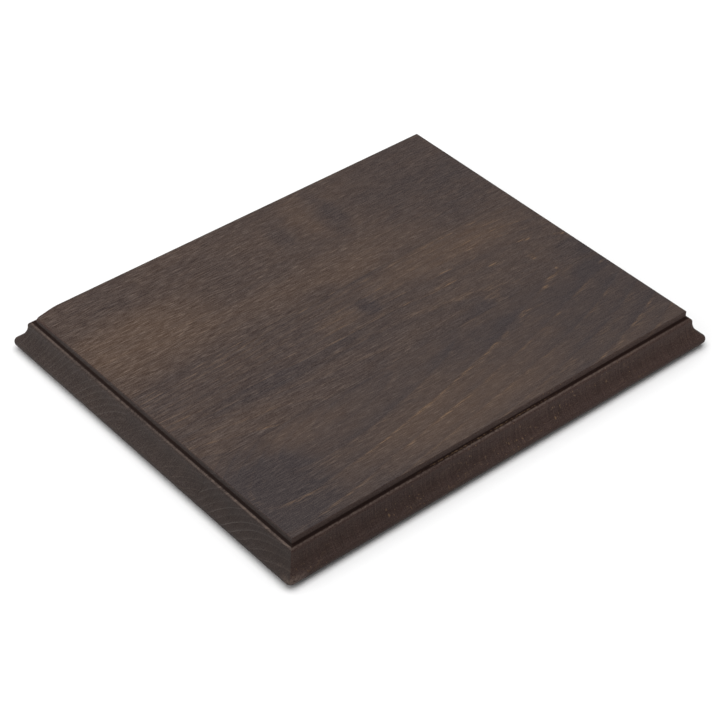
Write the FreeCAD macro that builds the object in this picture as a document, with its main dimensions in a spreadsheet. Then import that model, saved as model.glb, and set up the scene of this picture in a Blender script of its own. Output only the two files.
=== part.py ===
"""Wooden plaque blank: three edge-glued staves with a moulded edge all round.

The plaque lies on its back, face up.  +X runs along the long side and the grain, +Y along the
short side towards the top edge of the plaque when it hangs landscape, and +Z is the normal of the
face.  The origin is at the centre of the outline, on the plane that the felt pads rest on.
Sizes are in millimetres.
"""
import FreeCAD, Part
import math
import os
import re

import Sketcher
from FreeCAD import Placement, Rotation, Vector

# Each driving dimension: its value and what it measures.
DIMENSIONS = {
    # the glued-up board
    "plaque_length": (250.0, "long side, along the grain"),
    "plaque_width": (204.5, "short side, across the staves"),
    "board_thickness": (18.0, "back to face"),
    # the staves taper a little, so each glue line crosses the ends at its own distance from the
    # centre line
    "rear_seam_left": (18.0, "rear glue line at the -X end, towards +Y"),
    "rear_seam_right": (22.8, "rear glue line at the +X end, towards +Y"),
    "front_seam_left": (37.4, "front glue line at the -X end, towards -Y"),
    "front_seam_right": (34.4, "front glue line at the +X end, towards -Y"),
    # the moulded edge, from the back up; an inset is measured in from the outer edge
    "foot_radius": (2.2, "round between the back and the nose"),
    "bead_radius": (2.1, "convex top of the nose"),
    "cove_radius": (9.1, "concave sweep above the bead"),
    "cove_inset": (5.7, "where the cove ends upright under the ledge"),
    "ledge_radius": (2.0, "shoulder between the cove and the ledge"),
    "panel_inset": (8.1, "upright step of the raised panel"),
    "quirk_depth": (3.7, "face down to the corner where ledge and step meet"),
    "panel_radius": (0.5, "softened arris of the face"),
    "corner_radius": (2.8, "nose corner in plan"),
    # keyhole hanger plates, let into the back
    "plate_length": (44.0, "overall, with round ends"),
    "plate_width": (15.0, "overall"),
    "plate_thickness": (2.0, "steel strip"),
    "plate_gap": (0.1, "clearance round the plate in its recess"),
    "entry_radius": (4.75, "hole that the wall screw's head passes"),
    "entry_offset": (4.0, "plate centre back to the entry hole"),
    "slot_width": (4.8, "slot that grips the wall screw's neck"),
    "slot_offset": (5.5, "plate centre on to the slot's end centre"),
    "room_width": (11.6, "pocket behind the keyhole for the screw head"),
    "room_depth": (5.0, "depth of that pocket beyond the plate"),
    "screw_spacing": (34.0, "between the two fixing screws of a plate"),
    "landscape_hanger": (60.0, "centre line of the plaque to the landscape plate, towards +Y"),
    "portrait_hanger": (85.0, "centre line of the plaque to the portrait plate, towards -X"),
    # countersunk fixing screws
    "screw_length": (12.0, "head face to tip"),
    "head_radius": (2.9, "countersunk head, 90 degrees"),
    "head_sink": (0.1, "head face below the plate's face"),
    "core_radius": (1.05, "root of the thread"),
    "thread_radius": (1.5, "crest of the thread"),
    "thread_pitch": (1.2, "crest to crest"),
    "thread_start": (2.6, "head face to the first crest"),
    "point_length": (1.6, "tapered tip"),
    "cross_span": (3.0, "end to end of the cross recess"),
    "cross_width": (0.7, "arm of the cross recess"),
    "cross_depth": (1.1, "depth of the cross recess"),
    "hole_play": (0.15, "screw shank to its hole in the plate"),
    # felt pads under the corners
    "pad_radius": (6.0, "felt disc"),
    "pad_thickness": (1.5, "felt disc"),
    "pad_inset": (14.0, "disc centre in from both edges"),
    # how far a cutter runs past the wood
    "cutter_run": (2.0, "overrun of every cut"),
}
THREAD_CRESTS = 7

doc = FreeCAD.newDocument("Plaque")
sheet = doc.addObject("Spreadsheet::Sheet", "Dimensions")
for row, (alias, (amount, meaning)) in enumerate(DIMENSIONS.items(), start=1):
    sheet.set(f"A{row}", alias)
    sheet.set(f"B{row}", str(amount))
    sheet.setAlias(f"B{row}", alias)
    sheet.set(f"C{row}", meaning)
doc.recompute()


def linked(formula):
    """The formula with each dimension's name pointed at its cell."""
    return re.sub(r"\b([a-z]+(?:_[a-z]+)+)\b", r"Dimensions.\1", formula)


def size(formula):
    """The formula's value in millimetres."""
    return float(sheet.evalExpression(linked(formula)))


def bind(thing, prop, formula):
    thing.setExpression(prop, linked(formula))


def new_body(label):
    body = doc.addObject("PartDesign::Body", label)
    body.Label = label
    return body


def origin_feature(body, role):
    return next(feature for feature in body.Origin.OriginFeatures if feature.Role == role)


def new_sketch(body, role, x="0", y="0", out="0", rotation=Rotation()):
    """Empty sketch parallel to one of the body's origin planes, shifted by three formulas."""
    sketch = body.newObject("Sketcher::SketchObject", f"{body.Name}_sketch")
    sketch.AttachmentSupport = [(origin_feature(body, role), "")]
    sketch.MapMode = "FlatFace"
    sketch.AttachmentOffset = Placement(Vector(), rotation)
    for axis, formula in (("x", x), ("y", y), ("z", out)):
        bind(sketch, f"AttachmentOffset.Base.{axis}", formula)
    return sketch


# Sketcher's numbers for a curve's ends and centre, and for the sketch's own origin.
START, END, CENTRE = 1, 2, 3
ORIGIN = (-1, 1)


def distance(sketch, direction, curve, point, formula):
    """Hold a point at a signed distance from the sketch's origin."""
    amount = size(formula)
    if abs(amount) < 1e-9:
        on_axis = -2 if direction == "DistanceX" else -1
        sketch.addConstraint(Sketcher.Constraint("PointOnObject", curve, point, on_axis))
        return
    if amount > 0:
        index = sketch.addConstraint(Sketcher.Constraint(direction, *ORIGIN, curve, point, amount))
        bind(sketch, f"Constraints[{index}]", formula)
    else:
        index = sketch.addConstraint(Sketcher.Constraint(direction, curve, point, *ORIGIN, -amount))
        bind(sketch, f"Constraints[{index}]", f"-({formula})")


def place(sketch, curve, point, x=None, y=None):
    if x is not None:
        distance(sketch, "DistanceX", curve, point, x)
    if y is not None:
        distance(sketch, "DistanceY", curve, point, y)


def radius(sketch, curve, formula):
    index = sketch.addConstraint(Sketcher.Constraint("Radius", curve, size(formula)))
    bind(sketch, f"Constraints[{index}]", formula)


def join(sketch, first, first_point, second, second_point):
    sketch.addConstraint(Sketcher.Constraint("Coincident", first, first_point, second, second_point))


def tangent(sketch, first, first_point, second, second_point):
    sketch.addConstraint(Sketcher.Constraint("Tangent", first, first_point, second, second_point))


def align(sketch, kind, *where):
    sketch.addConstraint(Sketcher.Constraint(kind, *where))


def line(sketch, first, last):
    return sketch.addGeometry(Part.LineSegment(Vector(*first, 0), Vector(*last, 0)), False)


def arc(sketch, centre, reach, start, end):
    """Arc drawn anticlockwise from start to end, in degrees."""
    circle = Part.Circle(Vector(*centre, 0), Vector(0, 0, 1), reach)
    return sketch.addGeometry(Part.ArcOfCircle(circle, math.radians(start), math.radians(end)), False)


def polygon(sketch, points):
    """Closed outline of straight lines; each corner is a pair of formulas."""
    corners = [(size(x), size(y)) for x, y in points]
    sides = [line(sketch, corners[i], corners[(i + 1) % len(corners)]) for i in range(len(corners))]
    for i, side in enumerate(sides):
        join(sketch, side, END, sides[(i + 1) % len(sides)], START)
        place(sketch, side, START, *points[i])


def disc(sketch, x, y, reach):
    circle = Part.Circle(Vector(size(x), size(y), 0), Vector(0, 0, 1), size(reach))
    curve = sketch.addGeometry(circle, False)
    place(sketch, curve, CENTRE, x, y)
    radius(sketch, curve, reach)


def stadium(sketch, low, high, reach):
    """Round-ended slot along the sketch's x axis, between two arc centres."""
    x_low, x_high, r = size(low), size(high), size(reach)
    right = arc(sketch, (x_high, 0), r, -90, 90)
    left = arc(sketch, (x_low, 0), r, 90, 270)
    top = line(sketch, (x_high, r), (x_low, r))
    bottom = line(sketch, (x_low, -r), (x_high, -r))
    tangent(sketch, right, END, top, START)
    tangent(sketch, top, END, left, START)
    tangent(sketch, left, END, bottom, START)
    tangent(sketch, bottom, END, right, START)
    align(sketch, "Horizontal", top)
    place(sketch, left, CENTRE, low, "0")
    place(sketch, right, CENTRE, high, "0")
    radius(sketch, right, reach)


def pad(body, sketch, length):
    feature = body.newObject("PartDesign::Pad", f"{body.Name}_pad")
    feature.Profile = sketch
    bind(feature, "Length", length)


def pocket(body, sketch, depth):
    """Cut on the sketch's +normal side."""
    feature = body.newObject("PartDesign::Pocket", f"{body.Name}_pocket")
    feature.Profile = sketch
    feature.Reversed = True
    bind(feature, "Length", depth)
    return feature


def pocket_through(body, sketch):
    """Cut right through on both sides of the sketch."""
    feature = body.newObject("PartDesign::Pocket", f"{body.Name}_pocket")
    feature.Profile = sketch
    feature.SideType = "Two sides"
    feature.Type = "ThroughAll"
    feature.Type2 = "ThroughAll"
    return feature


def revolve(body, kind, sketch, angle=360, backwards=False):
    """Revolution or Groove about the sketch's vertical axis."""
    feature = body.newObject(f"PartDesign::{kind}", f"{body.Name}_{kind.lower()}")
    feature.Profile = sketch
    feature.ReferenceAxis = (sketch, ["V_Axis"])
    feature.Angle = angle
    feature.Reversed = backwards
    return feature


def mirror(body, features, role):
    feature = body.newObject("PartDesign::Mirrored", f"{body.Name}_mirrored")
    feature.Originals = features
    feature.MirrorPlane = (origin_feature(body, role), [""])
    body.Tip = feature
    return feature


def nose_curves(sketch, shift, last):
    """Back line, foot, bead and cove of the moulding, drawn from the back upwards.

    x is the inset from the outer edge less the shift, and y is the height above the back.  The
    cove stops at the last inset.
    """
    foot, bead, cove = size("foot_radius"), size("bead_radius"), size("cove_radius")
    offset = size(shift)
    cove_x = size("cove_inset") - cove
    rise = math.sqrt((bead + cove) ** 2 - (bead - cove_x) ** 2)
    sweep = math.degrees(math.atan2(rise, bead - cove_x))
    stop = math.degrees(math.acos((size(last) - cove_x) / cove))

    back = line(sketch, (-size("cutter_run") - offset, 0), (foot - offset, 0))
    foot_arc = arc(sketch, (foot - offset, foot), foot, 180, 270)
    bead_arc = arc(sketch, (bead - offset, foot), bead, 180 - sweep, 180)
    cove_arc = arc(sketch, (cove_x - offset, foot + rise), cove, -sweep, -stop)

    align(sketch, "Horizontal", back)
    place(sketch, back, START, f"-cutter_run - ({shift})", "0")
    place(sketch, back, END, f"foot_radius - ({shift})")
    tangent(sketch, back, END, foot_arc, END)
    radius(sketch, foot_arc, "foot_radius")
    place(sketch, foot_arc, START, y="foot_radius")
    tangent(sketch, foot_arc, START, bead_arc, END)
    radius(sketch, bead_arc, "bead_radius")
    tangent(sketch, bead_arc, START, cove_arc, START)
    radius(sketch, cove_arc, "cove_radius")
    place(sketch, cove_arc, CENTRE, f"cove_inset - cove_radius - ({shift})")
    return back, cove_arc, foot + rise


def edge_waste(sketch):
    """What the cutter takes off a straight edge, from the back to above the face."""
    back, cove_arc, cove_top = nose_curves(sketch, "0", "cove_inset")
    inset, step = size("cove_inset"), size("panel_inset")
    ledge, arris = size("ledge_radius"), size("panel_radius")
    face, run = size("board_thickness"), size("cutter_run")
    quirk = face - size("quirk_depth")

    # the ledge falls outwards from the quirk, tangent to the round that starts above the cove
    reach = math.hypot(step - inset - ledge, quirk - cove_top)
    normal = math.degrees(math.atan2(quirk - cove_top, step - inset - ledge)
                          + math.acos(ledge / reach))
    touch = (inset + ledge + ledge * math.cos(math.radians(normal)),
             cove_top + ledge * math.sin(math.radians(normal)))
    ledge_arc = arc(sketch, (inset + ledge, cove_top), ledge, normal, 180)
    ledge_line = line(sketch, touch, (step, quirk))
    step_line = line(sketch, (step, quirk), (step, face - arris))
    face_arc = arc(sketch, (step + arris, face - arris), arris, 90, 180)
    rise_line = line(sketch, (step + arris, face), (step + arris, face + run))
    top_line = line(sketch, (step + arris, face + run), (-run, face + run))
    outer_line = line(sketch, (-run, face + run), (-run, 0))

    align(sketch, "Horizontal", cove_arc, CENTRE, cove_arc, END)
    tangent(sketch, cove_arc, END, ledge_arc, END)
    radius(sketch, ledge_arc, "ledge_radius")
    tangent(sketch, ledge_arc, START, ledge_line, START)
    join(sketch, ledge_line, END, step_line, START)
    place(sketch, step_line, START, "panel_inset", "board_thickness - quirk_depth")
    align(sketch, "Vertical", step_line)
    place(sketch, step_line, END, y="board_thickness - panel_radius")
    tangent(sketch, step_line, END, face_arc, END)
    radius(sketch, face_arc, "panel_radius")
    place(sketch, face_arc, START, "panel_inset + panel_radius")
    join(sketch, face_arc, START, rise_line, START)
    align(sketch, "Vertical", rise_line)
    close_above(sketch, rise_line, top_line, outer_line, back)


def corner_waste(sketch):
    """What rounding one nose corner takes off, outside the nose swept round the corner."""
    back, cove_arc, cove_top = nose_curves(sketch, "corner_radius", "corner_radius")
    cove = size("cove_radius")
    across = size("corner_radius") - size("cove_inset") + cove
    meet = cove_top - math.sqrt(cove ** 2 - across ** 2)
    top, outer = size("board_thickness + cutter_run"), -size("cutter_run + corner_radius")
    axis_line = line(sketch, (0, meet), (0, top))
    top_line = line(sketch, (0, top), (outer, top))
    outer_line = line(sketch, (outer, top), (outer, 0))

    place(sketch, cove_arc, END, x="0")
    join(sketch, cove_arc, END, axis_line, START)
    align(sketch, "Vertical", axis_line)
    close_above(sketch, axis_line, top_line, outer_line, back)


def close_above(sketch, inner_line, top_line, outer_line, back):
    """Close a waste outline over the face and down outside the edge."""
    place(sketch, inner_line, END, y="board_thickness + cutter_run")
    join(sketch, inner_line, END, top_line, START)
    align(sketch, "Horizontal", top_line)
    join(sketch, top_line, END, outer_line, START)
    align(sketch, "Vertical", outer_line)
    join(sketch, outer_line, END, back, START)


def hanger_recess(body, x, y, turn):
    """Seat for a hanger plate in the back, room for the screw head, and two screw holes.

    In the sketches x points from the entry hole towards the slot's end.
    """
    where = {"x": x, "y": y, "rotation": Rotation(Vector(0, 0, 1), turn)}
    seat = new_sketch(body, "XY_Plane", **where)
    ends = "(plate_length - plate_width) / 2"
    stadium(seat, f"-{ends}", ends, "plate_width / 2 + plate_gap")
    pocket(body, seat, "plate_thickness")

    room = new_sketch(body, "XY_Plane", **where)
    stadium(room, "-entry_offset", "slot_offset", "room_width / 2")
    pocket(body, room, "plate_thickness + room_depth")

    holes = new_sketch(body, "XY_Plane", **where)
    for side in ("-", ""):
        disc(holes, f"{side}screw_spacing / 2", "0", "thread_radius")
    pocket(body, holes, "head_sink + screw_length")


def stave(label, low, high, moulded=None, hanger=None):
    """One stave between two edges, each a pair of Y formulas for the -X and +X ends; moulded is
    -1 or +1 for the side of the plaque whose long edge it carries."""
    body = new_body(label)
    blank = new_sketch(body, "XY_Plane")
    left, right = "-plaque_length / 2", "plaque_length / 2"
    polygon(blank, [(left, low[0]), (right, low[1]), (right, high[1]), (left, high[0])])
    pad(body, blank, "board_thickness")

    if moulded is not None:
        turn = Rotation() if moulded < 0 else Rotation(Vector(0, 1, 0), 180)
        side = new_sketch(body, "YZ_Plane", x=f"{moulded} * plaque_width / 2", rotation=turn)
        edge_waste(side)
        pocket_through(body, side)

    end = new_sketch(body, "XZ_Plane", x="-plaque_length / 2")
    edge_waste(end)
    end_cuts = [pocket_through(body, end)]

    if moulded is not None:
        corner = new_sketch(body, "XZ_Plane", x="corner_radius - plaque_length / 2",
                            out=f"{-moulded} * (plaque_width / 2 - corner_radius)")
        corner_waste(corner)
        end_cuts.append(revolve(body, "Groove", corner, 90, backwards=moulded > 0))
    mirror(body, end_cuts, "YZ_Plane")

    if hanger is not None:
        hanger_recess(body, *hanger)
    bind(body, "Placement.Base.z", "pad_thickness")
    return body


def hanger_plate(label, x, y, turn):
    """Steel keyhole plate; its outer face is flush with the back of the board."""
    body = new_body(label)
    outline = new_sketch(body, "XY_Plane")
    ends = "(plate_length - plate_width) / 2"
    stadium(outline, f"-{ends}", ends, "plate_width / 2")
    pad(body, outline, "plate_thickness")

    entry = new_sketch(body, "XY_Plane")
    disc(entry, "-entry_offset", "0", "entry_radius")
    pocket_through(body, entry)
    slot = new_sketch(body, "XY_Plane")
    stadium(slot, "-entry_offset", "slot_offset", "slot_width / 2")
    pocket_through(body, slot)

    sink = new_sketch(body, "XZ_Plane", x="screw_spacing / 2")
    bore = "thread_radius + hole_play"
    mouth = "head_radius + head_sink"
    polygon(sink, [("0", "-cutter_run"), (mouth, "-cutter_run"), (mouth, "0"),
                   (bore, f"{mouth} - ({bore})"), (bore, "plate_thickness + cutter_run"),
                   ("0", "plate_thickness + cutter_run")])
    mirror(body, [revolve(body, "Groove", sink)], "YZ_Plane")

    body.Placement = Placement(Vector(), Rotation(Vector(0, 0, 1), turn))
    for axis, formula in (("x", x), ("y", y), ("z", "pad_thickness")):
        bind(body, f"Placement.Base.{axis}", formula)
    return body


def fixing_screw(label, x, y):
    """Countersunk screw, point up; the thread is a row of rings."""
    body = new_body(label)
    blank = new_sketch(body, "XZ_Plane")
    polygon(blank, [("0", "0"), ("head_radius", "0"), ("core_radius", "head_radius - core_radius"),
                    ("core_radius", "screw_length - point_length"), ("0", "screw_length")])
    revolve(body, "Revolution", blank)

    ring = new_sketch(body, "XZ_Plane")
    polygon(ring, [("core_radius / 2", "thread_start - thread_pitch / 2"),
                   ("core_radius", "thread_start - thread_pitch / 3"),
                   ("thread_radius", "thread_start"),
                   ("core_radius", "thread_start + thread_pitch / 3"),
                   ("core_radius / 2", "thread_start + thread_pitch / 2")])
    crest = revolve(body, "Revolution", ring)
    thread = body.newObject("PartDesign::LinearPattern", f"{label}_thread")
    thread.Originals = [crest]
    thread.Direction = (origin_feature(body, "Z_Axis"), [""])
    thread.Occurrences = THREAD_CRESTS
    bind(thread, "Length", f"thread_pitch * {THREAD_CRESTS - 1}")
    body.Tip = thread

    arm = new_sketch(body, "XY_Plane")
    polygon(arm, [("-cross_span / 2", "-cross_width / 2"), ("cross_span / 2", "-cross_width / 2"),
                  ("cross_span / 2", "cross_width / 2"), ("-cross_span / 2", "cross_width / 2")])
    recess = pocket(body, arm, "cross_depth")
    cross = body.newObject("PartDesign::PolarPattern", f"{label}_cross")
    cross.Originals = [recess]
    cross.Axis = (origin_feature(body, "Z_Axis"), [""])
    cross.Angle = 90
    cross.Occurrences = 2
    body.Tip = cross

    for axis, formula in (("x", x), ("y", y), ("z", "pad_thickness + head_sink")):
        bind(body, f"Placement.Base.{axis}", formula)
    return body


def felt_pad(label, x_side, y_side):
    """Self-adhesive felt disc under one corner of the board."""
    felt = doc.addObject("Part::Cylinder", label)
    felt.Label = label
    bind(felt, "Radius", "pad_radius")
    bind(felt, "Height", "pad_thickness")
    bind(felt, "Placement.Base.x", f"{x_side} * (plaque_length / 2 - pad_inset)")
    bind(felt, "Placement.Base.y", f"{y_side} * (plaque_width / 2 - pad_inset)")
    return felt


# The landscape plate hangs the plaque with +Y up, and the portrait plate with -X up.
LANDSCAPE = ("0", "landscape_hanger", 90)
PORTRAIT = ("-portrait_hanger", "0", 180)

REAR_EDGE = ("plaque_width / 2", "plaque_width / 2")
REAR_SEAM = ("rear_seam_left", "rear_seam_right")
FRONT_SEAM = ("-front_seam_left", "-front_seam_right")
FRONT_EDGE = ("-plaque_width / 2", "-plaque_width / 2")

subparts = [
    stave("stave_rear", REAR_SEAM, REAR_EDGE, moulded=1, hanger=LANDSCAPE),
    stave("stave_middle", FRONT_SEAM, REAR_SEAM, hanger=PORTRAIT),
    stave("stave_front", FRONT_EDGE, FRONT_SEAM, moulded=-1),
    hanger_plate("hanger_plate_landscape", *LANDSCAPE),
    hanger_plate("hanger_plate_portrait", *PORTRAIT),
    fixing_screw("screw_landscape_upper", "0", "landscape_hanger + screw_spacing / 2"),
    fixing_screw("screw_landscape_lower", "0", "landscape_hanger - screw_spacing / 2"),
    fixing_screw("screw_portrait_upper", "-portrait_hanger - screw_spacing / 2", "0"),
    fixing_screw("screw_portrait_lower", "-portrait_hanger + screw_spacing / 2", "0"),
]
for y_name, y_side in (("front", -1), ("rear", 1)):
    for x_name, x_side in (("left", -1), ("right", 1)):
        subparts.append(felt_pad(f"felt_pad_{y_name}_{x_name}", x_side, y_side))

doc.recompute()

for item in doc.Objects:
    if {"Invalid", "Error"} & set(item.State):
        raise RuntimeError(f"{item.Name} failed: {item.State}")
    if item.isDerivedFrom("Sketcher::SketchObject") and item.solve() != 0:
        raise RuntimeError(f"{item.Name} has a sketch that does not solve")
    if item.isDerivedFrom("PartDesign::Pocket") or item.isDerivedFrom("PartDesign::Groove"):
        if item.Shape.Volume >= item.BaseFeature.Shape.Volume - 1e-3:
            raise RuntimeError(f"{item.Name} cuts nothing")

os.makedirs("parts", exist_ok=True)
for subpart in subparts:
    shape = subpart.Shape
    if shape.isNull() or not shape.isValid() or len(shape.Solids) != 1:
        raise RuntimeError(f"{subpart.Label} is not one valid solid")
    shape.exportStep(f"parts/{subpart.Label}.step")
    print(f"{subpart.Label}: {shape.Volume:.1f} mm3")
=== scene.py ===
"""Looks of the wooden plaque: stained, edge-glued staves, felt pads and zinc-plated keyhole plates.

The model is in metres in the frame of the CAD part.  Sizes in this file are in millimetres and
pass through MM where geometry is made.
"""

import math

import bmesh
import bpy
from mathutils import Matrix, Vector, noise


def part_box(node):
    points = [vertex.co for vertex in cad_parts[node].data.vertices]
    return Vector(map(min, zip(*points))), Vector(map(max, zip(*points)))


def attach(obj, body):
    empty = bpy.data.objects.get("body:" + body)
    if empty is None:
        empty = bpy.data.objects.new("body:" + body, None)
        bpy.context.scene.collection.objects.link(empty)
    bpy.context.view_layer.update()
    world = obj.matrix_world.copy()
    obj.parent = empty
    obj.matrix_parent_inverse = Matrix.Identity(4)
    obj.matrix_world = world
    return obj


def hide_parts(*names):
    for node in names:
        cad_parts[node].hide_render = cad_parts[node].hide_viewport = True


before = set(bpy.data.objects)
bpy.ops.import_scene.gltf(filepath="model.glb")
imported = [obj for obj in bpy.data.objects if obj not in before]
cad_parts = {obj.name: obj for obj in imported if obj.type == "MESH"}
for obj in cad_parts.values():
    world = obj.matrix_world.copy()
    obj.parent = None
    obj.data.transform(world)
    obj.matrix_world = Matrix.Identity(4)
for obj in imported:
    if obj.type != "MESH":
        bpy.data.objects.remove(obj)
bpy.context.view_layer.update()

MM = 0.001


# ---------------------------------------------------------------------------------------------
# Sizes of the board
# ---------------------------------------------------------------------------------------------

def box_mm(node):
    low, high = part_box(node)
    return low / MM, high / MM


rear_low, rear_high = box_mm("stave_rear")
middle_low, middle_high = box_mm("stave_middle")
front_high = box_mm("stave_front")[1]

HALF_LENGTH = rear_high.x
HALF_WIDTH = rear_high.y
BACK = rear_low.z
FACE = rear_high.z
THICKNESS = FACE - BACK

# Y of each glue line at the -X end and at the +X end.
REAR_SEAM = (rear_low.y, middle_high.y)
FRONT_SEAM = (middle_low.y, front_high.y)

# The moulding, with the CAD part's sizes: insets are measured in from the outer edge and heights
# up from the back.
FOOT_RADIUS = 2.2
BEAD_RADIUS = 2.1
COVE_RADIUS = 9.1
COVE_INSET = 5.7
LEDGE_RADIUS = 2.0
PANEL_INSET = 8.1
QUIRK_DEPTH = 3.7
QUIRK_FILLET = 0.25
PANEL_RADIUS = 0.5
CORNER_RADIUS = 2.8
MITRE_RADIUS = 0.35
QUIRK_HEIGHT = THICKNESS - QUIRK_DEPTH

# The raised panel's rear left corner is sanded over, round in plan, and the arris of the -X end
# is rounder near it.
DUB_DROP = 2.0
DUB_ALONG = 13.0
DUB_ACROSS = 4.5
DUB_RADIUS = 3.2
EASED_RADIUS = 1.6
EASED_REACH = 34.0

# Unevenness of the ledge: where it is strongest, how deep, and the lengths of its waves.
WEAR_INSET = COVE_INSET + 0.8
WEAR_REACH = 1.5
WEAR_DEPTH = 0.07
WOBBLE_LENGTH = 5.0
DRIFT_LENGTH = 40.0

# Faces that meet at a sharper turn than this, in degrees, are shaded apart.
SHARP_TURN = 38

# Hanger plates, let into the back: fixed by two screws each.
PLATE_LENGTH = 44.0
PLATE_WIDTH = 15.0
PLATE_THICKNESS = 2.0
PLATE_GAP = 0.1
ENTRY_OFFSET = 4.0
SLOT_OFFSET = 5.5
ROOM_WIDTH = 11.6
ROOM_DEPTH = 5.0
SCREW_SPACING = 34.0
SCREW_HOLE_RADIUS = 1.5
SCREW_HOLE_DEPTH = 12.1


# ---------------------------------------------------------------------------------------------
# The board's shell, as closed loops from the middle of the back round to the middle of the face
# ---------------------------------------------------------------------------------------------

def arc_points(centre, radius, start, end, steps):
    """Points on an arc, angles in degrees, both ends included."""
    points = []
    for k in range(steps + 1):
        angle = math.radians(start + (end - start) * k / steps)
        points.append((centre[0] + radius * math.cos(angle), centre[1] + radius * math.sin(angle)))
    return points


def line_points(start, end, steps):
    """Points on a line after its start, the end included."""
    return [(start[0] + (end[0] - start[0]) * k / steps, start[1] + (end[1] - start[1]) * k / steps)
            for k in range(1, steps + 1)]


def moulding():
    """The edge's section, (inset, height), from the back round the nose and up to the face."""
    cove_x = COVE_INSET - COVE_RADIUS
    rise = math.sqrt((BEAD_RADIUS + COVE_RADIUS) ** 2 - (BEAD_RADIUS - cove_x) ** 2)
    sweep = math.degrees(math.atan2(rise, BEAD_RADIUS - cove_x))
    cove_top = FOOT_RADIUS + rise
    ledge_x = COVE_INSET + LEDGE_RADIUS
    reach = math.hypot(PANEL_INSET - ledge_x, QUIRK_HEIGHT - cove_top)
    normal = math.degrees(math.atan2(QUIRK_HEIGHT - cove_top, PANEL_INSET - ledge_x)
                          + math.acos(LEDGE_RADIUS / reach))
    points = arc_points((FOOT_RADIUS, FOOT_RADIUS), FOOT_RADIUS, 270, 180, 7)
    points += arc_points((BEAD_RADIUS, FOOT_RADIUS), BEAD_RADIUS, 180, 180 - sweep, 6)[1:]
    points += arc_points((cove_x, FOOT_RADIUS + rise), COVE_RADIUS, -sweep, 0, 14)[1:]
    points += arc_points((ledge_x, cove_top), LEDGE_RADIUS, 180, normal, 7)[1:]
    points += line_points(points[-1], (PANEL_INSET - QUIRK_FILLET, QUIRK_HEIGHT - 0.1), 2)
    points += [(PANEL_INSET - 0.07, QUIRK_HEIGHT + 0.07)]
    points += line_points((PANEL_INSET, QUIRK_HEIGHT + QUIRK_FILLET),
                          (PANEL_INSET, THICKNESS - PANEL_RADIUS), 4)
    points += arc_points((PANEL_INSET + PANEL_RADIUS, THICKNESS - PANEL_RADIUS), PANEL_RADIUS,
                         180, 90, 5)[1:]
    return points


# Insets of the loops on the face, closer together near the arris, where the face is sanded.
FACE_RINGS = (8.8, 9.2, 9.8, 10.6, 11.6, 12.8, 14.4, 16.4, 19.0, 22.5)

# Segments in each rounded corner of a loop, and between corners along each side in turn.
CORNER_STEPS = 8
SIDE_STEPS = (250, 204, 250, 204)


def smooth_step(value):
    value = min(1.0, max(0.0, value))
    return value * value * (3 - 2 * value)


def sanded(x, y, height):
    """The height after the rear left corner of the panel is sanded over."""
    if height <= QUIRK_HEIGHT:
        return height
    from_end = x + HALF_LENGTH - PANEL_INSET
    from_rear = HALF_WIDTH - PANEL_INSET - y
    near_end = 1 - smooth_step(from_end / DUB_ALONG)
    near_rear = 1 - smooth_step(from_rear / DUB_ACROSS)
    drop = DUB_DROP * near_end * near_rear
    radius = EASED_RADIUS * (1 - smooth_step(from_rear / EASED_REACH))
    short = max(0.0, radius - max(0.0, from_end))
    eased = radius - math.sqrt(max(0.0, radius ** 2 - short ** 2))
    return height - max(drop, eased) * (height - QUIRK_HEIGHT) / QUIRK_DEPTH


def corner_radius(inset, height, side_x, side_y):
    """Radius in plan of a loop at one corner."""
    radius = max(CORNER_RADIUS - inset, MITRE_RADIUS)
    if height > QUIRK_HEIGHT and (side_x, side_y) == (-1, 1):
        radius = max(DUB_RADIUS - (inset - PANEL_INSET), radius)
    return radius


def ring(inset, height):
    """One loop round the board, as points in millimetres."""
    corners = []
    for side_x, side_y, start in ((-1, -1, 180), (1, -1, 270), (1, 1, 0), (-1, 1, 90)):
        radius = corner_radius(inset, height, side_x, side_y)
        centre = (side_x * (HALF_LENGTH - inset - radius), side_y * (HALF_WIDTH - inset - radius))
        corners.append(arc_points(centre, radius, start, start + 90, CORNER_STEPS))
    points = []
    for corner, after, steps in zip(corners, corners[1:] + corners[:1], SIDE_STEPS):
        points += corner
        points += line_points(corner[-1], after[0], steps)[:-1]
    return [(x, y, sanded(x, y, height)) for x, y in points]


def worn(point, inset, height):
    """A point's height after hand-sanding, which leaves the ledge a little uneven."""
    x, y, z = point
    from_ledge = (inset - WEAR_INSET) ** 2 + (height - QUIRK_HEIGHT) ** 2
    near_ledge = math.exp(-from_ledge / WEAR_REACH)
    wobble = noise.noise(Vector((x / WOBBLE_LENGTH, y / WOBBLE_LENGTH, 3.0)))
    drift = noise.noise(Vector((x / DRIFT_LENGTH, y / DRIFT_LENGTH, 7.0)))
    return z - near_ledge * WEAR_DEPTH * (wobble + 0.6 * drift)


def board_shell():
    """Closed mesh of the whole glued-up board."""
    section = moulding()
    section += [(inset, THICKNESS) for inset in FACE_RINGS]
    mesh = bmesh.new()
    loops = []
    for inset, height in section:
        loop = []
        for point in ring(inset, height):
            z = worn(point, inset, height)
            loop.append(mesh.verts.new((point[0] * MM, point[1] * MM, (BACK + z) * MM)))
        loops.append(loop)
    for lower, upper in zip(loops, loops[1:]):
        for k in range(len(lower)):
            after = (k + 1) % len(lower)
            mesh.faces.new((lower[k], lower[after], upper[after], upper[k]))
    mesh.faces.new(list(reversed(loops[0])))
    mesh.faces.new(loops[-1])
    bmesh.ops.recalc_face_normals(mesh, faces=mesh.faces)
    return mesh


def seam_plane(seam):
    """A point on the glue line and the direction across it, towards +Y."""
    middle = Vector((0, (seam[0] + seam[1]) / 2 * MM, 0))
    along = Vector((2 * HALF_LENGTH, seam[1] - seam[0], 0)).normalized()
    return middle, Vector((-along.y, along.x, 0))


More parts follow.
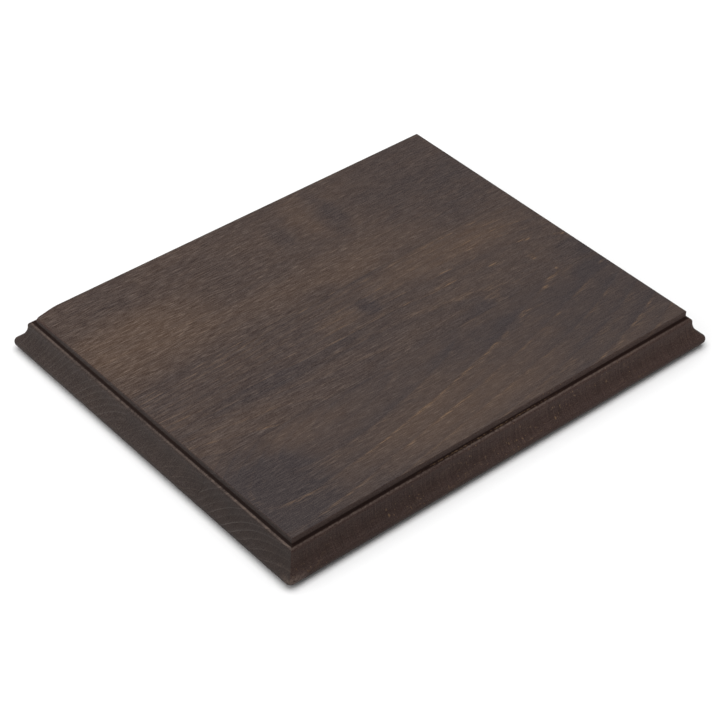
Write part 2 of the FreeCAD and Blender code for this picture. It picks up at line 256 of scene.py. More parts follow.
def cut_away(mesh, seam, keep_rear):
    """Cut the shell along a glue line and close the joint face."""
    point, across = seam_plane(seam)
    geometry = mesh.verts[:] + mesh.edges[:] + mesh.faces[:]
    bmesh.ops.bisect_plane(mesh, geom=geometry, plane_co=point, plane_no=across, dist=1e-7,
                           clear_inner=keep_rear, clear_outer=not keep_rear)
    rim = [edge for edge in mesh.edges if edge.is_boundary]
    bmesh.ops.edgeloop_fill(mesh, edges=rim)


def finish_mesh(name, mesh, crease=SHARP_TURN):
    """Object from a bmesh, smooth shaded with sharp edges where the surface turns."""
    data = bpy.data.meshes.new(name)
    bmesh.ops.recalc_face_normals(mesh, faces=mesh.faces)
    mesh.to_mesh(data)
    mesh.free()
    data.polygons.foreach_set("use_smooth", [True] * len(data.polygons))
    data.set_sharp_from_angle(angle=math.radians(crease))
    made = bpy.data.objects.new(name, data)
    bpy.context.scene.collection.objects.link(made)
    return made


# ---------------------------------------------------------------------------------------------
# Recesses in the back
# ---------------------------------------------------------------------------------------------

def stadium_outline(low, high, radius):
    return (arc_points((high, 0), radius, -90, 90, 32) + arc_points((low, 0), radius, 90, 270, 32))


def prism(outline, depth):
    """Closed cutter that starts 1 mm outside the back."""
    mesh = bmesh.new()
    lower = [mesh.verts.new((x * MM, y * MM, -1.0 * MM)) for x, y in outline]
    upper = [mesh.verts.new((x * MM, y * MM, depth * MM)) for x, y in outline]
    mesh.faces.new(list(reversed(lower)))
    mesh.faces.new(upper)
    for k in range(len(outline)):
        after = (k + 1) % len(outline)
        mesh.faces.new((lower[k], lower[after], upper[after], upper[k]))
    bmesh.ops.recalc_face_normals(mesh, faces=mesh.faces)
    return mesh


def hanger_cutters(plate):
    """Cutters for the seat, the head room and the screw holes of one hanger plate."""
    low, high = box_mm(plate)
    centre = (low + high) / 2
    turn = 90 if high.y - low.y > high.x - low.x else 180
    ends = (PLATE_LENGTH - PLATE_WIDTH) / 2
    cuts = [(stadium_outline(-ends, ends, PLATE_WIDTH / 2 + PLATE_GAP), PLATE_THICKNESS),
            (stadium_outline(-ENTRY_OFFSET, SLOT_OFFSET, ROOM_WIDTH / 2),
             PLATE_THICKNESS + ROOM_DEPTH)]
    for side in (-1, 1):
        x = side * SCREW_SPACING / 2
        cuts.append((arc_points((x, 0), SCREW_HOLE_RADIUS, 0, 345, 23), SCREW_HOLE_DEPTH))
    placed = []
    move = Matrix.Translation(Vector((centre.x, centre.y, BACK)) * MM)
    for outline, depth in cuts:
        cutter = prism(outline, depth)
        bmesh.ops.transform(cutter, matrix=move @ Matrix.Rotation(math.radians(turn), 4, "Z"),
                            verts=cutter.verts)
        placed.append(finish_mesh("cutter", cutter))
    return placed


def carve(piece, cutters):
    """Subtract the cutters one after another and keep the result as the piece's own mesh."""
    for cutter in cutters:
        modifier = piece.modifiers.new("recess", "BOOLEAN")
        modifier.operation = "DIFFERENCE"
        modifier.solver = "EXACT"
        modifier.object = cutter
    graph = bpy.context.evaluated_depsgraph_get()
    carved = bpy.data.meshes.new_from_object(piece.evaluated_get(graph), depsgraph=graph)
    piece.modifiers.clear()
    piece.data = carved
    carved.set_sharp_from_angle(angle=math.radians(SHARP_TURN))
    for cutter in cutters:
        bpy.data.objects.remove(cutter)


# ---------------------------------------------------------------------------------------------
# Shader building blocks
# ---------------------------------------------------------------------------------------------

class Graph:
    """Short names for the nodes of one material."""

    def __init__(self, name):
        self.material = bpy.data.materials.new(name)
        self.material.use_nodes = True
        self.nodes = self.material.node_tree.nodes
        self.links = self.material.node_tree.links
        self.shader = self.nodes["Principled BSDF"]
        self.shader.inputs["Specular IOR Level"].default_value = 0.14

    def put(self, socket, value):
        if isinstance(value, bpy.types.NodeSocket):
            self.links.new(value, socket)
        elif hasattr(value, "__len__") and len(value) == 3 and socket.type == "RGBA":
            socket.default_value = (*value, 1.0)
        else:
            socket.default_value = value

    def math(self, operation, first, second=None, third=None, clamp=False):
        node = self.nodes.new("ShaderNodeMath")
        node.operation = operation
        node.use_clamp = clamp
        for socket, value in zip(node.inputs, (first, second, third)):
            if value is not None:
                self.put(socket, value)
        return node.outputs[0]

    def add(self, *values):
        total = values[0]
        for value in values[1:]:
            total = self.math("ADD", total, value)
        return total

    def times(self, *values):
        total = values[0]
        for value in values[1:]:
            total = self.math("MULTIPLY", total, value)
        return total

    def less(self, first, second):
        return self.math("SUBTRACT", first, second)

    def centred(self, value):
        """A 0 to 1 pattern moved to lie about 0."""
        return self.math("SUBTRACT", value, 0.5)

    def blend(self, first, second, share):
        """Between two numbers."""
        return self.math("MULTIPLY_ADD", self.less(second, first), share, first)

    def vector(self, x, y, z):
        node = self.nodes.new("ShaderNodeCombineXYZ")
        for socket, value in zip(node.inputs, (x, y, z)):
            self.put(socket, value)
        return node.outputs[0]

    def axes(self, vector):
        node = self.nodes.new("ShaderNodeSeparateXYZ")
        self.put(node.inputs[0], vector)
        return node.outputs[0], node.outputs[1], node.outputs[2]

    def position(self, low_z=0.0):
        """Object coordinates in millimetres, z measured up from low_z."""
        where = self.nodes.new("ShaderNodeTexCoord").outputs["Object"]
        scaled = self.nodes.new("ShaderNodeVectorMath")
        scaled.operation = "MULTIPLY_ADD"
        self.put(scaled.inputs[0], where)
        self.put(scaled.inputs[1], (1 / MM, 1 / MM, 1 / MM))
        self.put(scaled.inputs[2], (0.0, 0.0, -low_z))
        return scaled.outputs[0]

    def stretched(self, vector, sizes, shift=(0.0, 0.0, 0.0)):
        """The vector measured in cells of the given size, for a pattern of that grain."""
        node = self.nodes.new("ShaderNodeVectorMath")
        node.operation = "MULTIPLY_ADD"
        self.put(node.inputs[0], vector)
        self.put(node.inputs[1], tuple(1 / size for size in sizes))
        self.put(node.inputs[2], shift)
        return node.outputs[0]

    def noise(self, vector, detail=2.0, roughness=0.5, distortion=0.0):
        node = self.nodes.new("ShaderNodeTexNoise")
        self.put(node.inputs["Vector"], vector)
        self.put(node.inputs["Scale"], 1.0)
        self.put(node.inputs["Detail"], detail)
        self.put(node.inputs["Roughness"], roughness)
        self.put(node.inputs["Distortion"], distortion)
        return node.outputs["Fac"]

    def cells(self, vector, randomness=1.0):
        """Distance to the nearest cell point, and a random number for the cell."""
        node = self.nodes.new("ShaderNodeTexVoronoi")
        self.put(node.inputs["Vector"], vector)
        self.put(node.inputs["Scale"], 1.0)
        self.put(node.inputs["Randomness"], randomness)
        return node.outputs["Distance"], self.axes(node.outputs["Color"])[0]

    def step(self, value, low, high, to_low=0.0, to_high=1.0):
        """Smooth step from to_low at low to to_high at high."""
        node = self.nodes.new("ShaderNodeMapRange")
        node.interpolation_type = "SMOOTHSTEP"
        for socket, number in zip(node.inputs, (value, low, high, to_low, to_high)):
            self.put(socket, number)
        return node.outputs[0]

    def blob(self, x, y, centre, reach):
        """1 at the centre, falling to 0 at the reach in each direction."""
        across = self.math("DIVIDE", self.less(x, centre[0]), reach[0])
        up = self.math("DIVIDE", self.less(y, centre[1]), reach[1])
        square = self.add(self.times(across, across), self.times(up, up))
        return self.step(square, 0.0, 1.0, 1.0, 0.0)

    def mix(self, first, second, share):
        node = self.nodes.new("ShaderNodeMix")
        node.data_type = "RGBA"
        self.put(node.inputs["Factor"], share)
        colours = [socket for socket in node.inputs if socket.type == "RGBA"]
        self.put(colours[0], first)
        self.put(colours[1], second)
        return next(socket for socket in node.outputs if socket.type == "RGBA")

    def scaled_colour(self, colour, amount):
        node = self.nodes.new("ShaderNodeVectorMath")
        node.operation = "SCALE"
        self.put(node.inputs[0], colour)
        self.put(node.inputs["Scale"], amount)
        return node.outputs[0]

    def lifted(self, colour, tint, amount):
        """The colour with an amount of the tint added to it."""
        node = self.nodes.new("ShaderNodeVectorMath")
        node.operation = "MULTIPLY_ADD"
        self.put(node.inputs[0], tint)
        self.put(node.inputs[1], amount)
        self.put(node.inputs[2], colour)
        return node.outputs[0]

    def curve(self, value, stops):
        """Piecewise curve through (position, level) stops."""
        node = self.nodes.new("ShaderNodeValToRGB")
        self.put(node.inputs[0], value)
        ramp = node.color_ramp
        for position, level in stops[1:-1]:
            ramp.elements.new(position)
        for element, (position, level) in zip(ramp.elements, stops):
            element.position = position
            element.color = (level, level, level, 1.0)
        return node.outputs[0]

    def finish(self, colour, roughness, height, depth):
        """Feed the shader; height is 0 to 1 and depth is its relief in millimetres."""
        self.put(self.shader.inputs["Base Color"], colour)
        self.put(self.shader.inputs["Roughness"], roughness)
        bump = self.nodes.new("ShaderNodeBump")
        self.put(bump.inputs["Strength"], 1.0)
        self.put(bump.inputs["Distance"], depth * MM)
        self.put(bump.inputs["Height"], height)
        self.links.new(bump.outputs[0], self.shader.inputs["Normal"])
        return self.material


# ---------------------------------------------------------------------------------------------
# Stained wood
# ---------------------------------------------------------------------------------------------

SHADOWED = (0.0370, 0.0276, 0.0272)
GOLDEN = (0.081, 0.0515, 0.0365)
FIGURE = (0.170, 0.102, 0.055)
DASH = (0.178, 0.126, 0.092)
# Lighter and darker fibres, with painted glints added in as colour.
FIBRE_AND_GLINT = (0.083, 0.067, 0.057)
PORE = (0.012, 0.008, 0.007)
# Painted shade for the quirk and the upright step above it.
PAINTED_QUIRK_SHADE = (0.0115, 0.0036, 0.0019)
# Rubbed wear, and a painted highlight along the ledge.
WORN_AND_HIGHLIGHT = (0.140, 0.102, 0.084)
# Long sides: stain on the routed long grain, darkened further by painted shade.
SIDE_STAIN_AND_SHADE = (0.0470, 0.0265, 0.0220)
END_GRAIN = (0.0370, 0.0280, 0.0255)
END_LINE = (0.098, 0.082, 0.076)
MARK = (0.170, 0.105, 0.060)

# Each stave comes from its own tree.  pith_y and pith_drop give the pith's Y and its depth below
# the face as polynomials in the distance from the -X end, in units of 100 mm.  wide_side below 1
# widens the rings on the pith's -Y side.  end_rings gives the rings on the end grain: the pith's Y
# and depth, the ring width and where the count starts.  In the middle and front staves, all these
# ring numbers are rounded results of least-squares fits to ring lines read off the photo; the rest
# is given.  Patches are (x, y, reach along, reach across, amount): the stain took lightly
# where the amount is positive.  In the quiet spots the stain hides the figure.
STAVES = {
    "stave_rear": {
        "seed": 3.0,
        "pith_y": (4.0, 0.5, 0.0, 0.0),
        "pith_drop": (59.0, 0.5, 0.0, 0.0),
        "ring_width": 2.6,
        "ring_start": 0.30,
        "wide_side": 1.0,
        "waver": 0.5,
        "figure": 0.20,
        "quiet": (),
        "end_rings": (4.0, 59.0, 2.9, 0.55),
        "end_lines": 0.40,
        "ledge_ticks": 0.10,
        "fibre": 1.08,
        "tone": 0.44,
        "patches": (
            (-88, 48, 48, 30, 0.44),
            (5, 34, 75, 16, 0.26),
            (27, 78, 12, 26, 0.22),
            (37, 68, 11, 22, -0.26),
            (8, 70, 8, 16, -0.20),
            (95, 62, 55, 50, -0.24),
            (-5, 24, 14, 7, -0.22),
            (-119, 55, 22, 70, 0.10),
        ),
    },
    "stave_middle": {
        "seed": 11.0,
        "pith_y": (-56.5, 21.8, -1.7, -0.87),
        "pith_drop": (90.0, 15.9, -8.75, 1.92),
        "ring_width": 1.74,
        "ring_start": 0.65,
        "wide_side": 1.0,
        "waver": 0.30,
        "figure": 0.66,
        "quiet": (),
        "end_rings": (-56.5, 90.0, 1.74, 0.65),
        "end_lines": 0.24,
        "ledge_ticks": 0.10,
        "fibre": 0.76,
        "tone": 0.37,
        "patches": (
            (-12, 2, 16, 8, 0.28),
            (62, 11, 62, 14, 0.42),
            (6, 2, 7, 9, -0.24),
            (-60, -12, 70, 8, -0.16),
            (62, -20, 40, 10, 0.06),
            (35, -34, 50, 6, -0.20),
            (-95, -26, 38, 12, 0.18),
            (110, -28, 18, 12, -0.20),
        ),
    },
    "stave_front": {
        "seed": 23.0,
        "pith_y": (-71.4, 60.0, -38.2, 9.8),
        "pith_drop": (17.1, -25.5, 5.4, 0.0),
        "ring_width": 4.95,
        "ring_start": 1.96,
        "wide_side": 0.5,
        "waver": 0.30,
        "figure": 0.95,
        "quiet": ((-70, -44, 85, 25, 1.0), (20, -40, 60, 16, 0.6), (-118, -66, 20, 22, 0.7)),
        "end_rings": (-104.3, 84.1, 2.87, 0.78),
        "end_lines": 0.66,
        "ledge_ticks": 0.90,
        "fibre": 0.56,
        "tone": 0.34,
        "patches": (
            (-104, -68, 32, 38, -0.46),
            (-70, -46, 28, 9, 0.22),
            (-102, -42, 30, 12, 0.14),
            (-10, -80, 75, 22, 0.34),
            (30, -48, 50, 9, -0.16),
            (98, -62, 42, 34, -0.18),
            (108, -41, 16, 8, -0.26),
        ),
    },
}


# The cutter's chatter in the cove: distance between marks, their height up the moulding, and how
# far they lean on the long sides and on the ends.
CHATTER_PITCH = 0.62
CHATTER_HEIGHT = 14.0
CHATTER_LEAN = -0.12
END_CHATTER_LEAN = 0.35

# Level of a ring's light line and of the shade before it, from one ring's start to the next.
RING_LINE = ((0.0, 0.34), (0.30, 0.06), (0.78, 0.0), (0.86, 0.12), (0.90, 1.0), (0.96, 0.75),
             (1.0, 0.34))
RING_SHADE = ((0.0, 0.0), (0.45, 0.0), (0.80, 1.0), (0.88, 0.0), (1.0, 0.0))

WOOD_RELIEF = 0.045


class StaveWood:
    """Material of one stave.  Shared patterns come first, then a method for each layer of colour.

    Sizes of patterns are in millimetres, long in X where they follow the grain.
    """

    def __init__(self, name, stave):
        self.graph = Graph(name)
        self.stave = stave
        self.shift = (stave["seed"], stave["seed"] * 1.7, stave["seed"] * 0.6)
        self.place = self.graph.position(BACK)
        self.x, self.y, self.z = self.graph.axes(self.place)
        self.find_surfaces()
        self.make_rings()
        self.make_fibres()

    def noise(self, sizes, detail, roughness=0.5):
        place = self.graph.stretched(self.place, sizes, self.shift)
        return self.graph.noise(place, detail, roughness)

    def cells(self, sizes):
        return self.graph.cells(self.graph.stretched(self.place, sizes, self.shift))

    def scattered(self, sizes, none_below, full_above):
        """A mark in each cell whose random number is high enough."""
        distance, pick = self.cells(sizes)
        return self.graph.times(self.graph.step(distance, 0.12, 0.30, 1.0, 0.0),
                                self.graph.step(pick, none_below, full_above))

    def mid_length(self, centre, reach):
        """1 at a place along the board, falling to 0 at the reach on both sides."""
        return self.graph.blob(self.x, 0.0, (centre, 0.0), (reach, 1.0))

    def find_surfaces(self):
        """Inset from the outer edge, and how much a point belongs to face, ends and sides."""
        graph = self.graph
        to_end = graph.less(HALF_LENGTH, graph.math("ABSOLUTE", self.x))
        to_side = graph.less(HALF_WIDTH, graph.math("ABSOLUTE", self.y))
        self.inset = graph.math("MINIMUM", to_end, to_side)
        up = graph.axes(graph.nodes.new("ShaderNodeNewGeometry").outputs["Normal"])[2]
        self.face = graph.times(graph.step(up, 0.55, 0.9),
                                graph.step(self.z, THICKNESS - 0.8, THICKNESS - 0.2))
        back = graph.step(up, -0.6, -0.9)
        self.end_face = graph.times(graph.math("LESS_THAN", to_end, to_side),
                                    graph.math("LESS_THAN", to_end, PANEL_INSET + 0.05),
                                    graph.less(1.0, back))
        self.side = graph.less(graph.less(1.0, self.face), back)
        self.long_side = graph.times(self.side, graph.less(1.0, self.end_face))
        self.with_grain = graph.math("MULTIPLY_ADD", self.side, -0.72, 1.0)

    def polynomial(self, terms):
        """Polynomial in the distance from the -X end, in units of 100 mm, lowest power first."""
        distance = self.graph.math("MULTIPLY_ADD", self.x, 0.01, HALF_LENGTH * 0.01)
        total = terms[-1]
        for term in reversed(terms[:-1]):
            total = self.graph.math("MULTIPLY_ADD", distance, total, term)
        return total

    def count_from(self, from_pith_y, pith_drop, bend, width, start):
        """Rings between the pith and the point."""
        graph = self.graph
        from_pith_z = graph.add(graph.less(self.z, THICKNESS), pith_drop)
        radius = graph.math("SQRT", graph.add(graph.times(from_pith_y, from_pith_y),
                                              graph.times(from_pith_z, from_pith_z)))
        return graph.math("MULTIPLY_ADD", graph.add(radius, bend), 1 / width, start)

    def ring_count(self):
        """Count of growth rings from the pith, bent by slow waves in the trunk."""
        graph, stave = self.graph, self.stave
        wave = graph.centred(self.noise((60, 26, 26), 1.0))
        ripple = graph.centred(self.noise((22, 6, 6), 2.0))
        bend = graph.add(graph.times(wave, 5.0 * stave["waver"]),
                         graph.times(ripple, 1.6 * stave["waver"]))
        bend = graph.times(bend, graph.math("MULTIPLY_ADD", self.end_face, -0.6, 1.0))
        from_pith_y = graph.less(self.y, self.polynomial(stave["pith_y"]))
        towards_front = graph.math("LESS_THAN", from_pith_y, 0.0)
        squeeze = graph.math("MULTIPLY_ADD", towards_front, stave["wide_side"] - 1.0, 1.0)
        along = self.count_from(graph.times(from_pith_y, squeeze),
                                self.polynomial(stave["pith_drop"]), bend,
                                stave["ring_width"], stave["ring_start"])
        end_y, end_drop, end_width, end_start = stave["end_rings"]
        across = self.count_from(graph.less(self.y, end_y), end_drop, bend, end_width, end_start)
        return graph.blend(along, across, self.end_face)

    def make_rings(self):
        """A thin light line where each ring ends, a haze after it and shade before it."""
        graph = self.graph
        count = self.ring_count()
        part_of_ring = graph.math("FRACT", count)
        self.ring_end = graph.curve(part_of_ring, RING_LINE)
        self.ring_shade = graph.curve(part_of_ring, RING_SHADE)
        which_ring = graph.noise(graph.vector(graph.math("FLOOR", count), self.stave["seed"], 0.5),
                                 0.0)
        self.ring_strength = graph.step(which_ring, 0.30, 0.66, 0.35, 1.15)

    def make_fibres(self):
        """Fibres, rays, dashes and pores along the grain, and a speckle."""
        graph = self.graph
        self.fibre = self.noise((10.0, 0.50, 0.50), 2.0, 0.56)
        self.fine_fibre = self.noise((5.5, 0.30, 0.30), 1.0, 0.5)
        self.speckle = self.noise((0.50, 0.36, 0.36), 1.0, 0.6)
        self.rays = self.scattered((9.0, 0.66, 0.66), 0.62, 0.90)
        self.bright_dashes = self.scattered((6.5, 0.50, 0.50), 0.82, 0.95)
        pore_distance, pore_pick = self.cells((2.0, 0.40, 0.40))
        self.pores = graph.times(graph.step(pore_distance, 0.14, 0.36, 1.0, 0.0),
                                 graph.step(pore_pick, 0.35, 0.8))
        self.mottle = self.noise((9, 4, 4), 2.0, 0.6)

    def stain(self):
        """Light and dark clouds of stain, and the tone that later layers follow."""
        graph = self.graph
        cloud = self.noise((38, 17, 17), 2.0, 0.55)
        streak = self.noise((14.0, 1.2, 1.2), 2.0, 0.6)
        tone = graph.add(self.stave["tone"], graph.times(graph.centred(cloud), 0.50),
                         graph.times(graph.centred(self.mottle), 0.24),
                         graph.times(graph.centred(streak), 0.26),
                         graph.times(self.ring_shade, self.face, -0.14 * self.stave["figure"]))
        for x, y, along, across, amount in self.stave["patches"]:
            spot = graph.blob(self.x, self.y, (x, y), (along, across))
            tone = graph.add(tone, graph.times(spot, amount, self.face))
        self.tone = graph.math("ADD", tone, 0.0, clamp=True)
        colour = graph.mix(SHADOWED, GOLDEN, self.tone)
        # The long sides take a darker, redder colour: the stain on the routed grain with painted
        # shade.
        colour = graph.mix(colour, SIDE_STAIN_AND_SHADE, graph.times(self.long_side, 0.70))
        return graph.mix(colour, END_GRAIN, graph.times(self.end_face, 0.65))

    def add_figure(self, colour):
        """Ring ends on the face, each broken up into short dashes."""
        graph, stave = self.graph, self.stave
        dashes = graph.step(graph.add(self.fibre, graph.times(graph.centred(self.fine_fibre), 1.3)),
                            0.45, 0.68)
        long_runs = graph.step(self.noise((26.0, 8.0, 8.0), 1.0), 0.36, 0.60, 0.25, 1.15)
        clusters = graph.step(self.noise((11.0, 4.5, 4.5), 1.0), 0.44, 0.62, 0.0, 1.5)
        shown = graph.blend(long_runs, clusters, graph.step(self.x, -30.0, 50.0))
        figure = graph.times(self.ring_end, self.ring_strength, shown,
                             graph.math("MULTIPLY_ADD", dashes, 1.18, 0.05),
                             graph.math("MULTIPLY_ADD", self.tone, 0.7, 0.30), self.with_grain)
        for x, y, along, across, amount in stave["quiet"]:
            spot = graph.blob(self.x, self.y, (x, y), (along, across))
            figure = graph.times(figure, graph.math("MULTIPLY_ADD", spot, -amount, 1.0))
        return graph.mix(colour, FIGURE, graph.times(figure, stave["figure"]))

    def add_end_lines(self, colour):
        """Ring ends on the end grain, fainter towards the front corner."""
        graph = self.graph
        lines = graph.times(self.ring_end, self.ring_strength, self.end_face,
                            self.stave["end_lines"], graph.step(self.y, -95.0, -55.0, 0.35, 1.0))
        return graph.mix(colour, END_LINE, graph.math("MINIMUM", lines, 1.0))

    def add_fibres(self, colour):
        """Brightness of single fibres, partly painted glints on them, stronger towards the -X end.
        """
        graph, fibre = self.graph, self.stave["fibre"]
        colour = graph.mix(colour, DASH, graph.times(self.rays, self.tone, self.with_grain,
                                                     0.55 * fibre))
        colour = graph.mix(colour, DASH, graph.times(self.bright_dashes, self.with_grain,
                                                     graph.math("MULTIPLY_ADD", self.tone, 0.50,
                                                                0.25)))
        # Grain of the fibres, and painted glints on them, added to the colour.
        flecks_and_glints = graph.add(graph.times(graph.step(self.fibre, 0.53, 0.63), 0.12),
                           graph.times(graph.step(self.fibre, 0.47, 0.37), -0.08),
                           graph.times(graph.centred(self.fine_fibre), 1.10),
                           graph.times(graph.step(self.fine_fibre, 0.56, 0.70), 0.42),
                           graph.times(self.rays, 0.22), graph.times(self.pores, -0.10), -0.04)
        flecks_and_glints = graph.times(flecks_and_glints, fibre, self.with_grain,
                             graph.math("MULTIPLY_ADD", self.tone, 0.35, 0.74),
                             graph.step(self.x, -70.0, 80.0, 1.06, 0.62))
        speckle = graph.times(graph.centred(self.speckle), 0.50 + 0.75 * fibre)
        return graph.lifted(colour, FIBRE_AND_GLINT, graph.add(flecks_and_glints, speckle))

    def chatter_on(self, along, lean, row):
        """Marks of the cutter, leaning along the moulding by so much for each mm up."""
        graph = self.graph
        leaning = graph.math("MULTIPLY_ADD", self.z, lean, along)
        return graph.noise(graph.vector(graph.math("MULTIPLY", leaning, 1 / CHATTER_PITCH), row,
                                        graph.math("MULTIPLY", self.z, 1 / CHATTER_HEIGHT)),
                           2.0, 0.6)

    def add_chatter(self, colour):
        """Chatter of the cutter in the cove."""
        graph = self.graph
        chatter = graph.blend(self.chatter_on(self.x, CHATTER_LEAN, 0.0),
                              self.chatter_on(self.y, END_CHATTER_LEAN, 9.0), self.end_face)
        self.in_cove = graph.times(graph.step(self.z, 2.5, 5.0),
                                   graph.step(self.z, QUIRK_HEIGHT - 0.4, 12.8), self.side)
        self.chatter_relief = graph.times(chatter, self.in_cove)
        light = graph.times(graph.centred(chatter), self.in_cove,
                            graph.math("MULTIPLY_ADD", self.end_face, -0.45, 1.15))
        return graph.scaled_colour(colour, graph.add(1.0, light))

    def add_torn_marks(self, colour):
        """Bright marks and specks torn by the cutter, mostly about the middle of a long side."""
        graph = self.graph
        torn = self.noise((1.7, 30.0, 2.0), 1.0)
        zone = self.noise((30.0, 30.0, 30.0), 0.0)
        zone = graph.add(zone, graph.times(self.mid_length(10.0, 95.0), 0.22), -0.08)
        zone = graph.math("MINIMUM", zone, 0.60)
        marks = graph.times(graph.step(graph.add(torn, graph.times(zone, 0.5)), 0.96, 1.06),
                            self.in_cove, self.long_side)
        speck_distance, speck_pick = self.cells((1.5, 1.5, 1.5))
        specks = graph.times(graph.step(speck_distance, 0.10, 0.24, 1.0, 0.0),
                             graph.step(speck_pick, 0.50, 0.85), graph.step(zone, 0.45, 0.58),
                             self.long_side)
        return graph.mix(colour, MARK, graph.times(graph.math("MAXIMUM", marks, specks), 0.72))

    def add_painted_quirk_shade(self, colour):
        """Painted shade: dark colour in the quirk and on the upright step above it."""
        graph = self.graph
        off_inset = graph.less(self.inset, PANEL_INSET - 0.15)
        off_height = graph.less(self.z, QUIRK_HEIGHT)
        from_quirk = graph.add(graph.times(off_inset, off_inset),
                               graph.times(off_height, off_height))
        on_step = graph.times(graph.step(self.inset, PANEL_INSET - 0.3, PANEL_INSET - 0.1),
                              graph.step(self.z, THICKNESS - 0.1, THICKNESS - 1.6), self.side,
                              graph.blend(0.12, 0.32, self.end_face))
        in_quirk = graph.times(graph.step(from_quirk, 0.15, 1.8, 1.0, 0.0), self.side)
        # Painted shade: the quirk and the step are darkened in colour.
        self.quirk_shade_mask = graph.math("MAXIMUM", in_quirk, on_step)
        amount = graph.math("MULTIPLY_ADD", self.end_face, -0.10, 0.96)
        return graph.mix(colour, PAINTED_QUIRK_SHADE, graph.times(self.quirk_shade_mask, amount))

    def add_painted_shade_and_light(self, colour):
        """Painted shade on the foot and towards the front left corner, painted light on a long
        side's upper cove below the ledge.
        """
        graph = self.graph
        foot = graph.times(graph.step(self.z, 3.2, 0.4), self.side)
        under_ledge = graph.times(graph.step(self.z, 6.5, 10.5), self.long_side)
        corner = graph.times(graph.blob(self.x, self.y, (-HALF_LENGTH, -HALF_WIDTH), (150, 95)),
                             self.side)
        return graph.scaled_colour(colour, graph.times(
            graph.math("MULTIPLY_ADD", foot, -0.30, 1.0),
            graph.math("MULTIPLY_ADD", corner, -0.20, 1.0),
            graph.math("MULTIPLY_ADD", under_ledge, 0.16, 1.0)))

    def add_rubbed_edges_and_highlight(self, colour):
        """Stain rubbed thin and a painted highlight on the ledge, and stain rubbed thin on the nose
        at the front left corner.
        """
        graph = self.graph
        self.rub_noise = self.noise((1.4, 1.0, 1.0), 3.0, 0.7)
        rub_long = self.noise((34, 34, 34), 1.0)
        on_ledge = graph.times(graph.step(self.inset, PANEL_INSET - 0.7, PANEL_INSET - 1.1),
                               graph.step(self.inset, PANEL_INSET - 2.0, PANEL_INSET - 1.5),
                               graph.step(self.z, QUIRK_HEIGHT - 1.3, QUIRK_HEIGHT - 0.6))
        worn_spots = graph.step(graph.add(self.rub_noise, graph.times(rub_long, 0.6)), 0.62, 0.98)
        long_amount = graph.math("MULTIPLY_ADD", self.mid_length(-10.0, 150.0), 0.60, 0.15)
        # Along the ledge: stain rubbed thin in spots, together with a painted highlight on its
        # shoulder.
        ledge = graph.times(on_ledge, worn_spots, graph.blend(long_amount, 0.62, self.end_face))
        ticks = graph.times(on_ledge, self.ring_end, self.end_face, self.stave["ledge_ticks"])
        on_nose = graph.times(graph.step(self.inset, 2.2, 0.5), graph.step(self.z, 0.8, 2.2),
                              graph.step(self.z, 5.0, 3.2))
        at_corner = graph.blob(self.x, self.y, (-HALF_LENGTH + 3.5, -HALF_WIDTH), (7.5, 7.5))
        nose = graph.times(on_nose, at_corner, graph.step(self.rub_noise, 0.35, 0.6), 0.7)
        rubbed_and_highlight = graph.add(ledge, ticks, nose)
        return graph.mix(colour, WORN_AND_HIGHLIGHT, graph.math("MINIMUM", rubbed_and_highlight, 0.85))

    def add_bare_rim(self, colour):
        """Bare wood on the quirk's outer rim, about the middle of the long sides."""
        graph = self.graph
        rim = graph.times(graph.step(self.inset, PANEL_INSET - 0.75, PANEL_INSET - 0.45),
                          graph.step(self.inset, PANEL_INSET - 0.05, PANEL_INSET - 0.20),
                          graph.step(self.rub_noise, 0.44, 0.60), self.long_side,
                          self.mid_length(-8.0, 48.0))
        return graph.mix(colour, MARK, graph.times(rim, 0.60))

    def seam_line(self, seam):
        """1 on a glue line, fading out within a fraction of a millimetre."""
        graph = self.graph
        slope = (seam[1] - seam[0]) / (2 * HALF_LENGTH)
        line = graph.math("MULTIPLY_ADD", self.x, slope, (seam[0] + seam[1]) / 2)
        return graph.step(graph.math("ABSOLUTE", graph.less(self.y, line)), 0.05, 0.45, 1.0, 0.0)

    def add_glue_lines(self, colour):
        graph = self.graph
        self.glue = graph.math("MAXIMUM", self.seam_line(REAR_SEAM), self.seam_line(FRONT_SEAM))
        return graph.mix(colour, PORE, graph.times(self.glue, 0.30))

    def roughness(self):
        graph = self.graph
        return graph.add(0.50, graph.times(graph.centred(self.fibre), -0.25),
                         graph.times(self.side, 0.06), graph.times(self.quirk_shade_mask, 0.20),
                         graph.times(self.mottle, 0.06))

    def height(self):
        graph = self.graph
        return graph.add(graph.times(self.fibre, 0.55), graph.times(self.fine_fibre, 0.35),
                         graph.times(self.pores, -0.5), graph.times(self.ring_end, 0.15),
                         graph.times(self.speckle, 0.25), graph.times(self.glue, -0.4),
                         graph.times(self.chatter_relief, 0.8))

    def material(self):
        colour = self.stain()
        for layer in (self.add_figure, self.add_end_lines, self.add_fibres, self.add_chatter,
                      self.add_torn_marks, self.add_painted_quirk_shade, self.add_painted_shade_and_light,
                      self.add_rubbed_edges_and_highlight, self.add_bare_rim, self.add_glue_lines):
            colour = layer(colour)
        return self.graph.finish(colour, self.roughness(), self.height(), WOOD_RELIEF)


# ---------------------------------------------------------------------------------------------
# Zinc-plated steel and felt
# ---------------------------------------------------------------------------------------------

